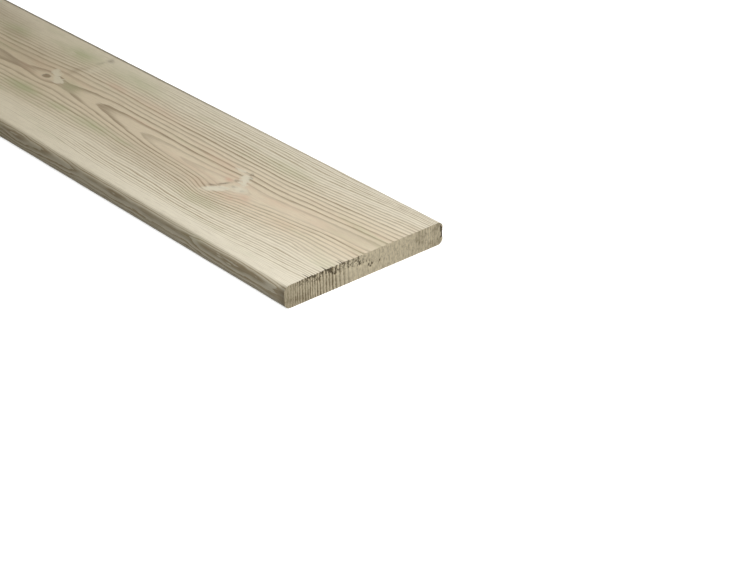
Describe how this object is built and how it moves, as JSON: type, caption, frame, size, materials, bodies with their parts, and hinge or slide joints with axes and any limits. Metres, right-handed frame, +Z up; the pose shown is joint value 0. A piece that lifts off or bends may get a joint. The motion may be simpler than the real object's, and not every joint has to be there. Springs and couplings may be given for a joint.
{
  "type": "planed softwood plank",
  "caption": "Flat rectangular plank of pale pressure-treated softwood, planed on all sides, with rounded long arrises and square cross-cut ends, for cladding, fencing and shelving.",
  "frame": {"origin": "centre of the back face, on which the plank lies", "axes": "+X along the grain and the length, +Y across the width, +Z up through the thickness to the show face"},
  "size_m": [1.8, 0.145, 0.018],
  "materials": {
    "softwood": "planed bare softwood, pressure treated, dry and matt, with fine straight growth lines, small knots and a faint green tinge"
  },
  "bodies": {
    "root": {"plank": "softwood"}
  },
  "joints": []
}
